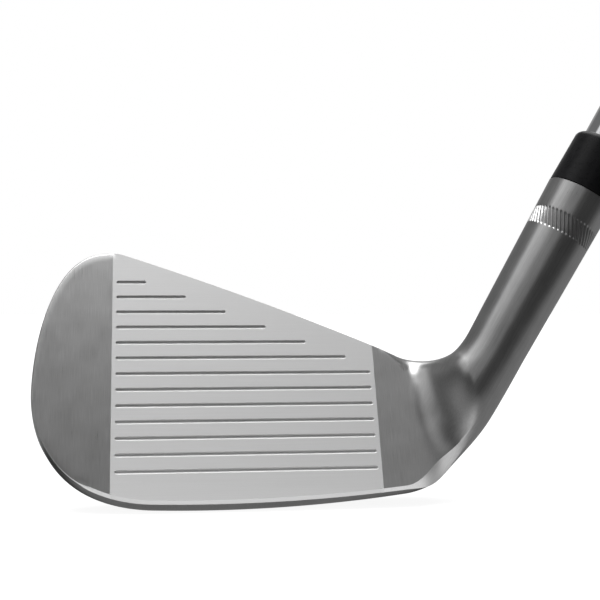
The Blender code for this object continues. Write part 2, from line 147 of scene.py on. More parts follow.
# Finer than the CAD head -------------------------------------------------------
LINE_FLOOR = 0.24            # width of the flat at the bottom of a score line
LIP_WIDTH = 0.86             # a score line at the surface, over its broken lower edge
LIP_DEPTH = 0.08
CUTTER_PROUD = 0.5
LINE_END_STEPS = 8           # facets round each end of a score line
EDGE_RADIUS = 0.4            # front edge of the rim, where nothing below widens it
TOE_ROLL = 1.0               # the soft front edge of the toe's upper rim
TOE_ROLL_START = -26.5       # u where it begins on the topline
TOE_ROLL_REACH = 2.0
TOE_ROLL_END = 0.6           # share of the way round the toe where it has faded
HEEL_ROLL = 7.5              # the front edge at the crotch, broader than it is deep
ROLL_MOST_DEPTH = 3.0
HEEL_ROLL_START = 28.5
HEEL_ROLL_REACH = 7.5
CHAMFER_FROM = 0.78          # down part of the outline's normal where the chamfer starts
CHAMFER_FULL = 0.92
HEEL_CHAMFER_GROWTH = 6.0    # the leading chamfer widens round the heel
HEEL_CHAMFER_FULL = 0.3      # share of the turn where it is widest
HEEL_CHAMFER_END = (0.3, 0.8)   # shares over which it shrinks again
INNER_RAIL_START = (6.6, 0.0, -3.2)   # a slightly deeper crotch than the CAD head's
FLAT_UNTIL = 0.13            # share of the turn over which the face stays flat
HEEL_ROUND = (0.12, 0.75)    # shares of the turn over which the outer side turns round
HEEL_FROM = 0.3              # place across the section where the outer side begins
HEEL_REACH = 0.5
HOSEL_TOP_CHAMFER = 0.15
KNURL_COUNT = 46             # slanted grooves cut round the hosel
KNURL_LOW = 10.5             # the band, measured down from the hosel's top
KNURL_HIGH = 6.3
KNURL_DEPTH = 0.24
KNURL_FADE = 0.45            # run-out of each groove at both ends
KNURL_LAND = 0.3             # share of each pitch left smooth
KNURL_LEAD = 0.3             # plain rows beside the band
HEAD_SHARP = 24.0            # degrees past which an edge of the head stays crisp

# Finish of the head ------------------------------------------------------------
BLAST_HALF_WIDTH = 26.85     # the blasted zone round the score lines
BLAST_SIDE_BLUR = 0.04
BLAST_DEPTH = 0.46           # it ends this far behind the face, past the chamfer
BLAST_DEPTH_BLUR = 0.03
BRUSH_TURN = (31.0, 42.0)    # u over which the brushing turns to run along the hosel

# Finer than the CAD's turned pieces --------------------------------------------
TURNED_SHARP = 35.0          # degrees past which an edge of them stays crisp
FERRULE_SHINE = 0.2
FERRULE_SEAT = 0.06          # the hairline between it and the hosel
FERRULE_BREAK = 0.08
BAND_SOFTNESS = 0.08
CAP_RINGS = (9.0, 6.0)       # radii of the fine grooves on the cap's end
CAP_RING_SIZE = 0.35         # half their width, and their depth
VENT_CHAMFER = 0.3
TREAD_COUNT = 14             # helical grooves round the grip, each way
TREAD_PITCH = 8.0
TREAD_LAND = 0.72            # share of each pitch left plain
TREAD_FLANK = 1.6            # steepness of the grooves' sides
TREAD_DEPTH = 0.35
TREAD_MARGIN = 13.0          # plain rubber at both ends
TREAD_FADE = 0.8
MOUTH_RINGS = (6.0, 9.0)     # rings round the grip, measured from its mouth
BUTT_RING = 7.0              # and one measured from its butt
GRIP_RING_SIZE = 0.7

# Studio: places are head-frame X or Y in millimetres ----------------------------
FLOOR_SIZE = 3.0             # metres to each side
FLOOR_GAP = 0.1
FLOOR_GLOW = 0.7             # share of the floor's look that takes no shadow
FLOOR_WHITE = 1.3
# What metal sees in the floor is painted light: a glowing painted pool of light in front of the
# club, a dim glow beside and behind it, and a painted shadow beneath it.
FLOOR_NEAR = 1.1             # what metal sees just in front of the club
FLOOR_FRONT = (-38.0, -17.0)    # Y over which that bright floor begins
FLOOR_EDGE = (0.0, 6.0)         # Y over which it ends, under the club
FLOOR_HEEL_SIDE = (49.0, 57.0)  # X over which it ends, past the heel
FLOOR_FAR = 0.27             # what metal sees beside and behind the club
FLOOR_RISE = (-120.0, -5.0)     # Y over which that dim floor begins
FLOOR_BENEATH = 0.15         # share of the light left in the club's own shade
FLOOR_SHADE = (-5.0, -2.0)      # Y over which the shade begins
FLOOR_SHADE_END = (45.0, 60.0)  # X over which it ends, past the heel
FLOOR_BACK = (25.0, 60.0)       # Y over which it ends, behind the club
TENT_BASE = 0.05             # light from every other direction
LOBES = (                    # azimuth, elevation, inner and outer half angle, strength
    (-50.0, 78.0, 18.0, 28.0, 3.2),
    (-66.0, 38.0, 16.0, 26.0, 0.55),
    (-84.0, 42.0, 4.0, 14.0, 0.3),
    (-32.0, 29.0, 8.0, 14.0, 0.3),
    (-12.0, 19.0, 8.0, 14.0, 0.3),
    (-140.0, 30.0, 30.0, 50.0, 0.12),
    (28.0, 42.0, 8.0, 30.0, 0.25),
    (25.0, 72.0, 8.0, 17.0, 1.3),
    (180.0, 70.0, 16.0, 32.0, 2.0),
    (150.0, 30.0, 20.0, 45.0, 0.25),
)
CAMERA_PLACE = (-19.5, -229.82, 41.38)   # in the head frame
CAMERA_YAW = -7.387          # degrees; below zero it looks towards the heel
CAMERA_LENS = 70.2
CAMERA_SENSOR = 36.0

# Mesh density: points along each rib sum to half the hosel's columns plus one
FACE_STEPS = 20
EDGE_STEPS = 10
RIM_STEPS = 26
RIM_CROWDING = 1.5           # above 1 the sole's points crowd towards its front
RIM_REPEATS = 12             # rounds that settle the depth of the rim
BACK_TURN_STEPS = 6
BACK_STEPS = 36
BACK_CROWDING = 1.45         # above 1 the back's points crowd towards the muscle's step
BLADE_STATIONS = 56
TOE_RIBS = 140
TOE_TANGENT_STEP = 0.002     # share of the outline to each side, for its direction
TURN_STATIONS = 56
HOSEL_STATIONS = 14
KNURL_SPLIT = 3              # each column of the hosel becomes this many in the band
KNURL_ROWS = 36
MERGE_DISTANCE = 0.001       # for the points that the toe's ribs share
TURNED_SEGMENTS = 96
STRAIGHT_STEPS = 8           # rows along a plain stretch of a turned piece
ROUND_STEPS = 8              # facets of a rounded corner
SHAFT_STEP_ROWS = 6
LIP_STEPS = 6
GRIP_SEGMENTS = 144
GRIP_ROWS = 500

SIN_LOFT = math.sin(math.radians(LOFT))
COS_LOFT = math.cos(math.radians(LOFT))
TAN_LOFT = SIN_LOFT / COS_LOFT
AXIS_POINT = Vector((HOSEL_AXIS_X, HOSEL_AXIS_Y, 0.0))
AXIS = Vector((math.cos(math.radians(LIE)), 0.0, math.sin(math.radians(LIE))))
OUTWARD = Vector((AXIS.z, 0.0, -AXIS.x))
BACKWARD = Vector((0.0, 1.0, 0.0))
UPWARD = Vector((0.0, 0.0, 1.0))
HALF_BLADE = 0.5 * BLADE_THICKNESS / COS_LOFT   # along Y, face to mid-thickness
HOLD = AXIS_POINT + AXIS * (CLUB_LENGTH - HOLD_FROM_BUTT)
SHAFT_START = HOSEL_TOP - BORE_DEPTH + 2.0 * GAP + PIN_FLANGE_THICKNESS
SHAFT_END = CLUB_LENGTH - CAP_THICKNESS - GAP
BORE_RADIUS = TIP_RADIUS + TIP_TAPER + EPOXY_WALL + 2.0 * BOND_GAP


def lerp(a, b, t):
    return a + (b - a) * t


def smooth(t):
    t = min(max(t, 0.0), 1.0)
    return t * t * (3.0 - 2.0 * t)


def bezier(p0, p1, p2, p3, t):
    s = 1.0 - t
    return s * s * s * p0 + 3.0 * s * s * t * p1 + 3.0 * s * t * t * p2 + t * t * t * p3


def face_point(u, v, w):
    """The head-frame point at (u, v) on the face plane and w behind it."""
    y = v * SIN_LOFT + w * COS_LOFT
    z = LINE_HEIGHT + v * COS_LOFT - w * SIN_LOFT
    return Vector((u, y, z))


def in_room(x, y, z):
    """A head-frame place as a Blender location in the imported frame."""
    return (Vector((x, y, z)) - HOLD) * MM


# Club head ---------------------------------------------------------------------
# The ribs of the CAD head, with many more points: each starts on the spine at the
# face, runs out to the outline, round the rim and back to the spine behind.

def topline_v(u):
    t = (u - TOPLINE_TOE[0]) / (BLADE_END - TOPLINE_TOE[0])
    return lerp(TOPLINE_TOE[1], TOPLINE_END, t) + TOPLINE_CROWN * 4.0 * t * (1.0 - t)


def leading_edge_v(u):
    return SOLE_LOW_POINT[1] + SOLE_ROCKER * (u - SOLE_LOW_POINT[0]) ** 2


def spine_v(u):
    t = (u - SPINE_TOE[0]) / (BLADE_END - SPINE_TOE[0])
    return lerp(SPINE_TOE[1], SPINE_HEEL_V, smooth(t))


def back_depth(u, v):
    """Depth of the back surface behind the face plane: blade, step and muscle."""
    step = smooth((MUSCLE_TOP - v) / MUSCLE_STEP)
    slope = max(0.0, MUSCLE_TOP - v) / MUSCLE_TOP
    full = MUSCLE_THICKNESS - BLADE_THICKNESS
    muscle = MUSCLE_RISE * step + (full - MUSCLE_RISE) * slope
    toe_fade = lerp(TOE_MUSCLE, 1.0, smooth((u - TOE_TIP[0]) / TOE_MUSCLE_REACH))
    return BLADE_THICKNESS + muscle * toe_fade


def sole_dip(u):
    """The sole's roll, deepest under the score lines and shallow at toe and heel."""
    return SOLE_DIP * (1.0 - ((u - SOLE_LOW_POINT[0]) / SOLE_DIP_REACH) ** 2)


def rim_offset(u, x, depth, sole, dip=1.0):
    """How far the rim stands out from the outline at fraction x of its depth."""
    crown = -RIM_CROWN * (2.0 * x - 1.0) ** 2
    lean = -TAN_LOFT * depth * x
    roll = dip * sole_dip(u) * math.sin(0.5 * math.pi * min(1.0, x / SOLE_DIP_END))
    lift = TRAILING_LIFT * smooth((x - SOLE_DIP_END) / (1.0 - SOLE_DIP_END))
    return lerp(crown, lean + (roll - lift) / COS_LOFT, sole)


def topline_roll(x):
    """Radius of the topline's front edge: crisp between a soft toe and the crotch."""
    toe = smooth((TOE_ROLL_START - x) / TOE_ROLL_REACH)
    heel = smooth((x - HEEL_ROLL_START) / HEEL_ROLL_REACH)
    return EDGE_RADIUS + (TOE_ROLL - EDGE_RADIUS) * toe + (HEEL_ROLL - EDGE_RADIUS) * heel


def roll_lift(roll):
    """How much lower a rolled topline looks than a sharp one, up the face."""
    up = roll * COS_LOFT
    back = min(roll, ROLL_MOST_DEPTH) * SIN_LOFT
    return (up + back - math.hypot(up, back)) / COS_LOFT


def blade_rib(spine, edge, outward_v, roll, chamfer_growth=1.0, dip=1.0):
    """Points of one rib, from the spine on the face round the rim to the spine behind.

    outward_v is the up-face part of the outline's normal, roll the radius of the front
    edge, and chamfer_growth and dip scale the leading chamfer and the sole's roll.
    """
    sole = smooth((-outward_v - SOLE_FROM) / (1.0 - SOLE_FROM))
    spine = Vector(spine)
    edge = Vector(edge)
    reach = (edge - spine).length
    along = (edge - spine) / reach
    chamfer = smooth((-outward_v - CHAMFER_FROM) / (CHAMFER_FULL - CHAMFER_FROM))
    inset = lerp(roll, CHAMFER_DROP * chamfer_growth, chamfer)
    rim_start = lerp(min(roll, ROLL_MOST_DEPTH), CHAMFER_DEPTH * chamfer_growth, chamfer)
    points = []

    def put(distance, w):
        spot = spine + along * distance
        points.append(face_point(spot.x, spot.y, w))

    for i in range(FACE_STEPS + 1):
        put((reach - inset) * i / FACE_STEPS, 0.0)
    # A round edge above, which turns into a straight chamfer at the sole.
    first = rim_offset(edge.x, 0.0, 1.0, sole, dip)
    for i in range(1, EDGE_STEPS):
        t = i / EDGE_STEPS
        turn = 0.5 * math.pi * t
        out = lerp(math.sin(turn), t, chamfer)
        down = lerp(1.0 - math.cos(turn), t, chamfer)
        put(reach - inset + (inset + first) * out, rim_start * down)

    # The rim ends where it meets the back surface, found by a few repeats.
    rim_depth = BLADE_THICKNESS
    for _ in range(RIM_REPEATS):
        end = spine + along * (reach + rim_offset(edge.x, 1.0, rim_depth, sole, dip))
        rim_depth = back_depth(end.x, end.y) - rim_start - BACK_RADIUS
    for i in range(RIM_STEPS + 1):
        x = (i / RIM_STEPS) ** lerp(1.0, RIM_CROWDING, sole)
        put(reach + rim_offset(edge.x, x, rim_depth, sole, dip), rim_start + rim_depth * x)

    rim_end = reach + rim_offset(edge.x, 1.0, rim_depth, sole, dip)
    for i in range(1, BACK_TURN_STEPS):
        turn = 0.5 * math.pi * i / BACK_TURN_STEPS
        pull = BACK_RADIUS * (1.0 - math.cos(turn))
        put(rim_end - pull, rim_start + rim_depth + BACK_RADIUS * math.sin(turn))
    for i in range(BACK_STEPS + 1):
        distance = (rim_end - BACK_RADIUS) * (1.0 - i / BACK_STEPS) ** BACK_CROWDING
        spot = spine + along * distance
        put(distance, back_depth(spot.x, spot.y))
    return points


def blade_ribs_at(t, roll=None, chamfer_growth=1.0, dip=1.0):
    """The blade's upper and lower rib at t, from its heel end at 0 to the toe's fan at 1."""
    u = lerp(BLADE_END, SPINE_TOE[0], t)
    top_u = lerp(BLADE_END, TOPLINE_TOE[0], t)
    low_u = lerp(BLADE_END, SOLE_TOE[0], t)
    spine = (u, spine_v(u))
    roll = roll or topline_roll(top_u)
    lift = roll_lift(roll) - roll_lift(EDGE_RADIUS) if top_u > 0.0 else 0.0
    upper = blade_rib(spine, (top_u, topline_v(top_u) + lift), 1.0, roll)
    lower = blade_rib(spine, (low_u, leading_edge_v(low_u)), -1.0, roll, chamfer_growth, dip)
    return upper, lower


def toe_outline(t):
    """The outline round the toe, from the topline at t = 0 to the sole at t = 1."""
    if t < 0.5:
        ends = (TOPLINE_TOE, *TOE_UPPER_HANDLES, TOE_TIP)
        t = t * 2.0
    else:
        ends = (TOE_TIP, *TOE_LOWER_HANDLES, SOLE_TOE)
        t = t * 2.0 - 1.0
    ends = [Vector(p) for p in ends]
    return bezier(*ends, t)


def toe_ribs():
    ribs = []
    for i in range(1, TOE_RIBS):
        t = i / TOE_RIBS
        ahead = toe_outline(t + TOE_TANGENT_STEP)
        tangent = (ahead - toe_outline(t - TOE_TANGENT_STEP)).normalized()
        roll = min(lerp(TOE_ROLL, EDGE_RADIUS, smooth(t / TOE_ROLL_END)),
                   topline_roll(toe_outline(t).x))
        ribs.append(blade_rib(SPINE_TOE, toe_outline(t), -tangent.x, roll))
    return ribs


def axis_at(distance):
    return AXIS_POINT + AXIS * distance


def hosel_radius(distance):
    t = (distance - HOSEL_NECK) / (HOSEL_TOP - HOSEL_NECK)
    return lerp(HOSEL_NECK_RADIUS, HOSEL_TOP_RADIUS, t)


def ring_angles(ring):
    """Where each point of a section goes on the round hosel, in radians.

    Angle 0 is the inner (crotch) side, a quarter turn is the back, half a turn
    is the outer side. The even spacing keeps the hosel round.
    """
    centre = sum(ring, Vector()) / len(ring)
    count = len(ring)
    angles = []
    previous = None
    for i, point in enumerate(ring):
        seen = math.atan2(point.y - centre.y, point.z - centre.z)
        if previous is not None:
            while seen < previous - math.pi:
                seen += 2.0 * math.pi
        previous = seen
        angles.append(seen)
    even_start = angles[0]
    return [lerp(a, even_start + 2.0 * math.pi * i / count, SECTION_EVENNESS)
            for i, a in enumerate(angles)]


def hosel_ring(distance, angles, radius):
    centre = axis_at(distance)
    return [centre + radius * (BACKWARD * math.sin(a) - OUTWARD * math.cos(a))
            for a in angles]


def extreme(ring, way):
    """The section's furthest point along way, brought onto the plane Y = 0."""
    point = max(ring, key=lambda p: p.dot(way))
    return Vector((point.x, 0.0, point.z))


def section_frame(inner, outer):
    middle = (inner + outer) * 0.5
    half = (outer - inner) * 0.5
    return middle, half


def across_section(ring, inner, outer):
    """Each point's place across the section: -1 at the inner rail, 1 at the outer."""
    middle, half = section_frame(inner, outer)
    return [(p - middle).dot(half) / half.length_squared for p in ring]


def whole_section(upper, lower):
    """A closed section: up the face, over the top, down the back, under the sole."""
    return upper + lower[-2:0:-1]


def heel_chamfer_growth(t):
    """The leading chamfer at share t of the turn: it widens at the heel, then shrinks."""
    widen = smooth(t / HEEL_CHAMFER_FULL)
    fade_start, fade_end = HEEL_CHAMFER_END
    fade = smooth((fade_end - t) / (fade_end - fade_start))
    return lerp(1.0, HEEL_CHAMFER_GROWTH, widen * fade)


def blade_middle_y(z):
    """Y of the middle of the blade's thickness at height z."""
    return TAN_LOFT * (z - LINE_HEIGHT) + HALF_BLADE


def turn_rings():
    """Sections that change from the blade's shape to the round hosel."""
    blade_ring = whole_section(*blade_ribs_at(0.0))
    angles = ring_angles(blade_ring)
    hosel_start = hosel_ring(HOSEL_NECK, angles, HOSEL_NECK_RADIUS)

    blade_in = extreme(blade_ring, UPWARD)
    blade_out = extreme(blade_ring, -UPWARD)
    hosel_in = axis_at(HOSEL_NECK) - OUTWARD * HOSEL_NECK_RADIUS
    hosel_out = axis_at(HOSEL_NECK) + OUTWARD * HOSEL_NECK_RADIUS
    hosel_in.y = hosel_out.y = 0.0
    inner_rail = (blade_in, blade_in + Vector(INNER_RAIL_START),
                  hosel_in - AXIS * INNER_RAIL_END, hosel_in)
    outer_rail = (blade_out, blade_out + Vector(OUTER_RAIL_START),
                  hosel_out - AXIS * OUTER_RAIL_END, hosel_out)

    hosel_across = across_section(hosel_start, hosel_in, hosel_out)
    rings = []
    for i in range(1, TURN_STATIONS):
        t = i / TURN_STATIONS
        inner = bezier(*inner_rail, t)
        middle, half = section_frame(inner, bezier(*outer_rail, t))
        upper, lower = blade_ribs_at(0.0, topline_roll(inner.x), heel_chamfer_growth(t),
                                     1.0 - smooth(t / HEEL_CHAMFER_FULL))
        blade_ring = whole_section(upper, lower)
        blade_across = across_section(blade_ring, extreme(blade_ring, UPWARD),
                                      extreme(blade_ring, -UPWARD))
        # The crotch side turns round early, and the outer side in its own time.
        forward = smooth((t - FLAT_UNTIL) / (FORWARD_AT - FLAT_UNTIL))
        early = smooth(t / CROTCH_ROUND_AT)
        rounded = smooth((t - HEEL_ROUND[0]) / (HEEL_ROUND[1] - HEEL_ROUND[0]))
        ring = []
        for start, end, a, b in zip(blade_ring, hosel_start, blade_across, hosel_across):
            mix = lerp(forward, early, smooth(-a / CROTCH_REACH))
            mix = lerp(mix, rounded, smooth((a - HEEL_FROM) / HEEL_REACH))
            spot = middle + half * lerp(a, b, mix)
            depth = lerp(blade_middle_y(spot.z), HOSEL_AXIS_Y, forward)
            own = lerp(start.y - blade_middle_y(start.z), end.y - HOSEL_AXIS_Y, mix)
            ring.append(spot + BACKWARD * (depth + own))
        rings.append(ring)
    rings.append(hosel_start)
    return rings, angles


def knurl_depth(distance, angle):
    """Depth of the slanted grooves at a place on the hosel."""
    low = HOSEL_TOP - KNURL_LOW
    high = HOSEL_TOP - KNURL_HIGH
    fade = smooth((distance - low) / KNURL_FADE) * smooth((high - distance) / KNURL_FADE)
    slant = math.tan(math.radians(90.0 - LIE)) / HOSEL_TOP_RADIUS
    turned = angle - slant * (distance - low)
    across = abs((turned * KNURL_COUNT / (2.0 * math.pi)) % 1.0 * 2.0 - 1.0)
    groove = max(0.0, (across - KNURL_LAND) / (1.0 - KNURL_LAND))
    return KNURL_DEPTH * fade * groove


def add_knurled_top(bm, ring, angles):
    """Continues the hosel from its last ring: knurled band, top edge and bore."""
    count = len(ring)
    wrapped = angles + [angles[0] + 2.0 * math.pi]
    fine_angles = [lerp(wrapped[i], wrapped[i + 1], k / KNURL_SPLIT)
                   for i in range(count) for k in range(KNURL_SPLIT)]
    fine_count = len(fine_angles)

    def fine_ring(distance, radius, dented=False):
        centre = axis_at(distance)
        verts = []
        for a in fine_angles:
            r = radius - knurl_depth(distance, a) if dented else radius
            spot = centre + r * (BACKWARD * math.sin(a) - OUTWARD * math.cos(a))
            verts.append(bm.verts.new(spot * MM))
        return verts

    low = HOSEL_TOP - KNURL_LOW
    high = HOSEL_TOP - KNURL_HIGH
    rows = [fine_ring(low - KNURL_LEAD, hosel_radius(low - KNURL_LEAD))]
    for i in range(count):
        start = KNURL_SPLIT * i
        above = [rows[0][(start + k) % fine_count] for k in range(KNURL_SPLIT + 1)]
        bm.faces.new([ring[(i + 1) % count], ring[i]] + above)
    for i in range(KNURL_ROWS + 1):
        distance = lerp(low, high, i / KNURL_ROWS)
        rows.append(fine_ring(distance, hosel_radius(distance), dented=True))
    for distance in (high + KNURL_LEAD, HOSEL_TOP - HOSEL_TOP_CHAMFER):
        rows.append(fine_ring(distance, hosel_radius(distance)))
    rows.append(fine_ring(HOSEL_TOP, HOSEL_TOP_RADIUS - HOSEL_TOP_CHAMFER))
    rows.append(fine_ring(HOSEL_TOP, BORE_RADIUS))
    rows.append(fine_ring(HOSEL_TOP - BORE_DEPTH, BORE_RADIUS))
    for a, b in zip(rows, rows[1:]):
        for i in range(fine_count):
            j = (i + 1) % fine_count
            bm.faces.new((a[i], a[j], b[j], b[i]))
    bm.faces.new(rows[-1])


def head_skin():
    """The closed head, bore included, before its score lines are cut."""
    pairs = [blade_ribs_at(i / BLADE_STATIONS) for i in range(BLADE_STATIONS + 1)]
    upper = [pair[0] for pair in pairs]
    lower = [pair[1] for pair in pairs]
    count = len(upper[0])

    rings, angles = turn_rings()
    last = HOSEL_TOP - KNURL_LOW - 2.0 * KNURL_LEAD
    for i in range(1, HOSEL_STATIONS + 1):
        distance = lerp(HOSEL_NECK, last, i / HOSEL_STATIONS)
        rings.append(hosel_ring(distance, angles, hosel_radius(distance)))

    bm = bmesh.new()
    ring_verts = [[bm.verts.new(p * MM) for p in ring] for ring in rings]
    blade_verts = [[bm.verts.new(p * MM) for p in rib]
                   for rib in upper + toe_ribs() + lower[::-1]]
    inner_rows = [ring[:count] for ring in reversed(ring_verts)]
    outer_rows = [[ring[0]] + ring[:count - 2:-1] for ring in ring_verts]
    rows = inner_rows + blade_verts + outer_rows
    for a, b in zip(rows, rows[1:]):
        for i in range(len(a) - 1):
            bm.faces.new((a[i], a[i + 1], b[i + 1], b[i]))
    add_knurled_top(bm, ring_verts[-1], angles)
    blade = [v for rib in blade_verts for v in rib]
    bmesh.ops.remove_doubles(bm, verts=blade, dist=MERGE_DISTANCE * MM)
    bmesh.ops.recalc_face_normals(bm, faces=bm.faces)
    mesh = bpy.data.meshes.new("head_skin")
    bm.to_mesh(mesh)
    bm.free()
    return mesh


def line_end(index):
    """Heel end of a score line; line 0 is the highest."""
    if index < SHORT_LINES:
        return SHORT_LINE_END + SHORT_LINE_STEP * index
    return LINE_HALF_LENGTH


def score_line_cutter():
    """One round-ended trough for each score line, its lower edge broken at the face."""
    lip_shift = 0.5 * (LINE_WIDTH - LIP_WIDTH)
    levels = ((LIP_WIDTH, lip_shift, -CUTTER_PROUD), (LIP_WIDTH, lip_shift, 0.0),
              (LINE_WIDTH, 0.0, LIP_DEPTH), (LINE_FLOOR, 0.0, LINE_DEPTH))
    bm = bmesh.new()
    for index in range(LINE_COUNT):
        v = LINE_PITCH * (LINE_COUNT - 1 - index)
        toe = -LINE_HALF_LENGTH + 0.5 * LINE_WIDTH
        heel = line_end(index) - 0.5 * LINE_WIDTH
        rows = []
        for width, shift, w in levels:
            row = []
            for end, start in ((heel, -90.0), (toe, 90.0)):
                for i in range(LINE_END_STEPS + 1):
                    a = math.radians(start + 180.0 * i / LINE_END_STEPS)
                    u = end + 0.5 * width * math.cos(a)
                    spot = face_point(u, v + shift + 0.5 * width * math.sin(a), w)
                    row.append(bm.verts.new(spot * MM))
            rows.append(row)
        for a, b in zip(rows, rows[1:]):
            for i in range(len(a)):
                j = (i + 1) % len(a)
                bm.faces.new((a[i], a[j], b[j], b[i]))
        bm.faces.new(rows[0][::-1])
        bm.faces.new(rows[-1])
    bmesh.ops.recalc_face_normals(bm, faces=bm.faces)
    mesh = bpy.data.meshes.new("score_line_cutter")
    bm.to_mesh(mesh)
    bm.free()
    return mesh


# Turned pieces -----------------------------------------------------------------

def along_shaft():
    """Turns local +Z onto the shaft axis, with its zero where the axis meets the ground."""
    turn = Matrix.Rotation(math.radians(90.0 - LIE), 4, "Y")
    return Matrix.Translation(in_room(*AXIS_POINT)) @ turn


def turned_mesh(name, profile, segments=TURNED_SEGMENTS, dent=None):
    """Spins a closed (radius, height) profile round local Z.

    dent(angle, height) is how far an outside point is pressed in. Each profile
    point that takes it has a third item, True.
    """
    bm = bmesh.new()
    rings = []
    for point in profile:
        radius, height = point[0], point[1]
        pressed = len(point) > 2
        ring = []
        for i in range(segments):
            a = 2.0 * math.pi * i / segments
            r = radius - dent(a, height) if pressed else radius
            ring.append(bm.verts.new((r * math.cos(a) * MM, r * math.sin(a) * MM, height * MM)))
        rings.append(ring)
    for a, b in zip(rings, rings[1:] + rings[:1]):
        for i in range(segments):
            j = (i + 1) % segments
            bm.faces.new((a[i], a[j], b[j], b[i]))
    bmesh.ops.recalc_face_normals(bm, faces=bm.faces)
    mesh = bpy.data.meshes.new(name)
    bm.to_mesh(mesh)
    bm.free()
    return mesh


def rounded_corner(radius, top, size):
    """An outside upper corner, rounded by size, from its side to its top."""
    points = []
    for i in range(ROUND_STEPS + 1):
        turn = 0.5 * math.pi * i / ROUND_STEPS
        points.append((radius - size + size * math.cos(turn),
                       top - size + size * math.sin(turn)))
    return points


def ferrule_profile():
    """A tapered collar, rounded at its top shoulder, with a fine break at its base."""
    bottom = HOSEL_TOP + FERRULE_SEAT
    top = HOSEL_TOP + GAP + FERRULE_LENGTH
    bore = TIP_RADIUS + TIP_TAPER + BOND_GAP
    profile = [(bore, bottom), (FERRULE_BASE_RADIUS - FERRULE_BREAK, bottom),
               (FERRULE_BASE_RADIUS, bottom + FERRULE_BREAK)]
    for i in range(1, STRAIGHT_STEPS):
        t = i / STRAIGHT_STEPS
        profile.append((lerp(FERRULE_BASE_RADIUS, FERRULE_TOP_RADIUS, t),
                        lerp(bottom, top - FERRULE_SHOULDER, t)))
    profile += rounded_corner(FERRULE_TOP_RADIUS, top, FERRULE_SHOULDER)
    profile.append((bore, top))
    return profile


def shaft_wall(height):
    t = (height - SHAFT_START) / (SHAFT_END - SHAFT_START)
    return lerp(TIP_WALL, BUTT_WALL, t)


def shaft_profile():
    """The stepped tube; each step is a short S-curve."""
    radius = TIP_RADIUS + TIP_TAPER
    rise = (BUTT_RADIUS - radius) / STEP_COUNT
    outside = [(TIP_RADIUS, SHAFT_START)]
    for i in range(1, STRAIGHT_STEPS):
        t = i / STRAIGHT_STEPS
        outside.append((TIP_RADIUS + TIP_TAPER * t, lerp(SHAFT_START, FIRST_STEP, t)))
    for i in range(STEP_COUNT):
        height = FIRST_STEP + STEP_SPACING * i
        for k in range(SHAFT_STEP_ROWS + 1):
            t = k / SHAFT_STEP_ROWS
            outside.append((radius + rise * smooth(t), height + STEP_SLOPE * t))
        radius += rise
    outside.append((BUTT_RADIUS, SHAFT_END))
    inside = [(r - shaft_wall(height), height) for r, height in reversed(outside)]
    return outside + inside


def grip_radius(t):
    """Outside of the grip at t along it, slim for most of it and fuller at the butt."""
    return lerp(GRIP_MOUTH_RADIUS, GRIP_BUTT_RADIUS, lerp(t, t ** 3, GRIP_SWELL))


def grip_profile():
    """A tapered sleeve with a rolled lip at its mouth; its outside takes the tread."""
    mouth = CLUB_LENGTH - GRIP_LENGTH
    end = CLUB_LENGTH - CAP_THICKNESS - GAP
    bore = BUTT_RADIUS + TAPE_THICKNESS + 2.0 * BOND_GAP
    profile = [(bore, mouth)]
    for i in range(LIP_STEPS + 1):
        turn = 0.5 * math.pi * i / LIP_STEPS
        profile.append((GRIP_MOUTH_RADIUS - GRIP_LIP * (1.0 - math.sin(turn)),
                        mouth + GRIP_LIP * (1.0 - math.cos(turn))))
    for i in range(1, GRIP_ROWS + 1):
        t = i / GRIP_ROWS
        height = lerp(mouth + GRIP_LIP, end, t)
        profile.append((grip_radius(t), height, True))
    profile.append((bore, end))
    return profile


def tread_depth(angle, height):
    """Two sets of crossing helical grooves, with plain stretches and rings at both ends."""
    mouth = CLUB_LENGTH - GRIP_LENGTH
    end = CLUB_LENGTH - CAP_THICKNESS - GAP
    low = mouth + TREAD_MARGIN
    high = end - TREAD_MARGIN
    treaded = smooth((height - low) / TREAD_FADE) * smooth((high - height) / TREAD_FADE)
    ring = 0.0
    for place in [mouth + up for up in MOUTH_RINGS] + [end - BUTT_RING]:
        ring = max(ring, 1.0 - smooth(abs(height - place) / GRIP_RING_SIZE))
    turns = TREAD_COUNT * angle / (2.0 * math.pi)
    grooves = 0.0
    for way in (1.0, -1.0):
        phase = (turns + way * (height - low) / TREAD_PITCH) % 1.0
        across = abs(phase * 2.0 - 1.0)
        sunk = smooth((across - TREAD_LAND) / (1.0 - TREAD_LAND) * TREAD_FLANK)
        grooves = max(grooves, sunk)
    return TREAD_DEPTH * max(treaded * grooves, ring)


def cap_profile():
    """A disc with a rounded rim, two fine grooves on its end and a vent in the middle."""
    bottom = CLUB_LENGTH - CAP_THICKNESS
    profile = [(VENT_RADIUS, bottom), (GRIP_BUTT_RADIUS - CAP_NECK_INSET, bottom)]
    profile += rounded_corner(CAP_RADIUS, CLUB_LENGTH, CAP_ROUND)
    for ring in CAP_RINGS:
        profile += [(ring + CAP_RING_SIZE, CLUB_LENGTH), (ring, CLUB_LENGTH - CAP_RING_SIZE),
                    (ring - CAP_RING_SIZE, CLUB_LENGTH)]
    profile += [(VENT_RADIUS + VENT_CHAMFER, CLUB_LENGTH),
                (VENT_RADIUS, CLUB_LENGTH - VENT_CHAMFER)]
    return profile


def band_profile():
    """A thin sleeve of foil with soft ends."""
    inner = BUTT_RADIUS + BOND_GAP
    top = CLUB_LENGTH - GRIP_LENGTH - BAND_BELOW_GRIP
    bottom = top - BAND_LENGTH
    outer = inner + BAND_THICKNESS
    side = outer - BAND_SOFTNESS
    profile = [(inner, bottom), (side, bottom), (outer, bottom + BAND_SOFTNESS)]
    for i in range(1, STRAIGHT_STEPS):
        profile.append((outer, lerp(bottom, top, i / STRAIGHT_STEPS)))
    profile += [(outer, top - BAND_SOFTNESS), (side, top), (inner, top)]
    return profile


# Materials ---------------------------------------------------------------------

